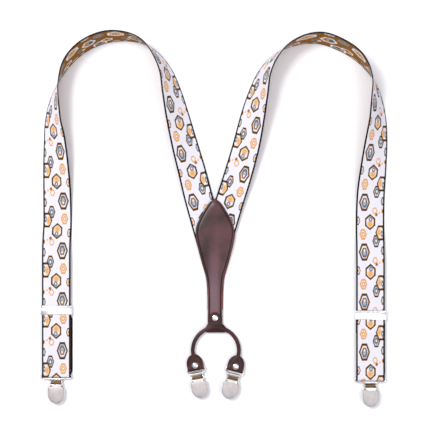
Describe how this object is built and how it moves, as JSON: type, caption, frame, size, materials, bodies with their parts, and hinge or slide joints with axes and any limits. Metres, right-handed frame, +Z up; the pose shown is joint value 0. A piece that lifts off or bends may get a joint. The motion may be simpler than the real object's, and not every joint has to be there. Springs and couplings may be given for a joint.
{
  "type": "clip-on suspenders",
  "caption": "Clip-on suspenders laid flat: patterned webbing straps, leather back patch, rolled leather cord, hinged adjusters and snap clips.",
  "frame": {"origin": "centre of the whole layout's footprint, on the surface it lies on", "axes": "+X to the viewer's right, +Y from the clips towards the shoulder arches, +Z up from the table"},
  "size_m": [0.426, 0.4567, 0.0352],
  "materials": {
    "patterned_webbing": "woven jacquard with a dark selvedge, gold reverse",
    "dark_leather": "smooth, waxed, dark brown",
    "raw_leather": "plain backing leather",
    "rolled_leather": "rolled cord, low sheen",
    "bright_nickel": "bright nickel plate",
    "satin_nickel": "satin nickel plate",
    "bronze_leaf": "spring bronze",
    "grip_pad": "matt"
  },
  "bodies": {
    "root": {"left_strap": "patterned_webbing", "right_strap": "patterned_webbing", "patch_front": "dark_leather", "patch_back": "raw_leather", "loop_tab": "dark_leather", "loop_rivet": "bright_nickel"},
    "cord_end": {"cord": "rolled_leather", "left_cord_tab": "dark_leather", "right_cord_tab": "dark_leather", "left_cord_rivet": "bright_nickel", "right_cord_rivet": "bright_nickel"},
    "left_lower_end": {"left_strap_loop": "patterned_webbing"},
    "left_adjuster": {"left_adjuster_frame": "bright_nickel", "left_adjuster_pin": "bright_nickel"},
    "left_adjuster_lid": {"left_adjuster_cover": "bright_nickel"},
    "right_lower_end": {"right_strap_loop": "patterned_webbing"},
    "right_adjuster": {"right_adjuster_frame": "bright_nickel", "right_adjuster_pin": "bright_nickel"},
    "right_adjuster_lid": {"right_adjuster_cover": "bright_nickel"},
    "front_left_clip": {"front_left_clip_frame": "bright_nickel", "front_left_clip_back_pad": "grip_pad", "front_left_clip_pin": "bright_nickel"},
    "front_left_clip_tongue": {"front_left_clip_lever": "satin_nickel"},
    "front_left_clip_leaf": {"front_left_clip_jaw": "bronze_leaf", "front_left_clip_jaw_pad": "grip_pad"},
    "front_right_clip": {"front_right_clip_frame": "bright_nickel", "front_right_clip_back_pad": "grip_pad", "front_right_clip_pin": "bright_nickel"},
    "front_right_clip_tongue": {"front_right_clip_lever": "satin_nickel"},
    "front_right_clip_leaf": {"front_right_clip_jaw": "bronze_leaf", "front_right_clip_jaw_pad": "grip_pad"},
    "back_left_clip": {"back_left_clip_frame": "bright_nickel", "back_left_clip_back_pad": "grip_pad", "back_left_clip_pin": "bright_nickel"},
    "back_left_clip_tongue": {"back_left_clip_lever": "satin_nickel"},
    "back_left_clip_leaf": {"back_left_clip_jaw": "bronze_leaf", "back_left_clip_jaw_pad": "grip_pad"},
    "back_right_clip": {"back_right_clip_frame": "bright_nickel", "back_right_clip_back_pad": "grip_pad", "back_right_clip_pin": "bright_nickel"},
    "back_right_clip_tongue": {"back_right_clip_lever": "satin_nickel"},
    "back_right_clip_leaf": {"back_right_clip_jaw": "bronze_leaf", "back_right_clip_jaw_pad": "grip_pad"}
  },
  "joints": [
    {"name": "left_length_slide", "type": "slide", "parent": "root", "child": "left_lower_end", "axis": [0, 1, 0], "range_m": [-0.02, 0.02], "deforming": ["left_strap_loop"]},
    {"name": "left_adjuster_slide", "type": "slide", "parent": "left_lower_end", "child": "left_adjuster", "axis": [0, 1, 0], "range_m": [-0.02, 0.02]},
    {"name": "left_adjuster_cover_hinge", "type": "hinge", "parent": "left_adjuster", "child": "left_adjuster_lid", "pos_m": [-0.1925, -0.1046, 0.0067], "axis": [-1, 0, 0], "range_deg": [0, 95]},
    {"name": "right_length_slide", "type": "slide", "parent": "root", "child": "right_lower_end", "axis": [0, 1, 0], "range_m": [-0.02, 0.02], "deforming": ["right_strap_loop"]},
    {"name": "right_adjuster_slide", "type": "slide", "parent": "right_lower_end", "child": "right_adjuster", "axis": [0, 1, 0], "range_m": [-0.02, 0.02]},
    {"name": "right_adjuster_cover_hinge", "type": "hinge", "parent": "right_adjuster", "child": "right_adjuster_lid", "pos_m": [0.1925, -0.1106, 0.0067], "axis": [-1, 0, 0], "range_deg": [0, 95]},
    {"name": "cord_slide", "type": "hinge", "parent": "root", "child": "cord_end", "pos_m": [0.003, -0.159, 0.0035], "axis": [0, 0, 1], "range_deg": [-15, 15]},
    {"name": "front_left_clip_swing", "type": "hinge", "parent": "left_lower_end", "child": "front_left_clip", "pos_m": [-0.1925, -0.1894, 0.00265], "axis": [-1, 0, 0], "range_deg": [-90, 90]},
    {"name": "front_left_lever_hinge", "type": "hinge", "parent": "front_left_clip", "child": "front_left_clip_tongue", "pos_m": [-0.1925, -0.2009, 0.0065], "axis": [-1, 0, 0], "range_deg": [0, 100]},
    {"name": "front_left_jaw_hinge", "type": "hinge", "parent": "front_left_clip", "child": "front_left_clip_leaf", "pos_m": [-0.1925, -0.1976, 0.0042], "axis": [-1, 0, 0], "range_deg": [0, 12]},
    {"name": "front_right_clip_swing", "type": "hinge", "parent": "right_lower_end", "child": "front_right_clip", "pos_m": [0.1925, -0.1934, 0.00265], "axis": [-1, 0, 0], "range_deg": [-90, 90]},
    {"name": "front_right_lever_hinge", "type": "hinge", "parent": "front_right_clip", "child": "front_right_clip_tongue", "pos_m": [0.1925, -0.2049, 0.0065], "axis": [-1, 0, 0], "range_deg": [0, 100]},
    {"name": "front_right_jaw_hinge", "type": "hinge", "parent": "front_right_clip", "child": "front_right_clip_leaf", "pos_m": [0.1925, -0.2016, 0.0042], "axis": [-1, 0, 0], "range_deg": [0, 12]},
    {"name": "back_left_clip_swing", "type": "hinge", "parent": "cord_end", "child": "back_left_clip", "pos_m": [-0.02154, -0.18109, 0.0035], "axis": [-0.9816, -0.1908, 0], "range_deg": [-90, 90]},
    {"name": "back_left_lever_hinge", "type": "hinge", "parent": "back_left_clip", "child": "back_left_clip_tongue", "pos_m": [-0.01896, -0.19434, 0.0065], "axis": [-0.9816, -0.1908, 0], "range_deg": [0, 100]},
    {"name": "back_left_jaw_hinge", "type": "hinge", "parent": "back_left_clip", "child": "back_left_clip_leaf", "pos_m": [-0.01959, -0.1911, 0.0042], "axis": [-0.9816, -0.1908, 0], "range_deg": [0, 12]},
    {"name": "back_right_clip_swing", "type": "hinge", "parent": "cord_end", "child": "back_right_clip", "pos_m": [0.02635, -0.18234, 0.0035], "axis": [-0.9703, 0.2419, 0], "range_deg": [-90, 90]},
    {"name": "back_right_lever_hinge", "type": "hinge", "parent": "back_right_clip", "child": "back_right_clip_tongue", "pos_m": [0.02308, -0.19544, 0.0065], "axis": [-0.9703, 0.2419, 0], "range_deg": [0, 100]},
    {"name": "back_right_jaw_hinge", "type": "hinge", "parent": "back_right_clip", "child": "back_right_clip_leaf", "pos_m": [0.02388, -0.19224, 0.0042], "axis": [-0.9703, 0.2419, 0], "range_deg": [0, 12]}
  ],
  "couplings": [
    {"joint": "left_adjuster_slide", "follows": "left_length_slide", "ratio": 1},
    {"joint": "right_adjuster_slide", "follows": "right_length_slide", "ratio": 1},
    {"joint": "front_left_jaw_hinge", "follows": "front_left_lever_hinge", "ratio": 0.12},
    {"joint": "front_right_jaw_hinge", "follows": "front_right_lever_hinge", "ratio": 0.12},
    {"joint": "back_left_jaw_hinge", "follows": "back_left_lever_hinge", "ratio": 0.12},
    {"joint": "back_right_jaw_hinge", "follows": "back_right_lever_hinge", "ratio": 0.12}
  ]
}
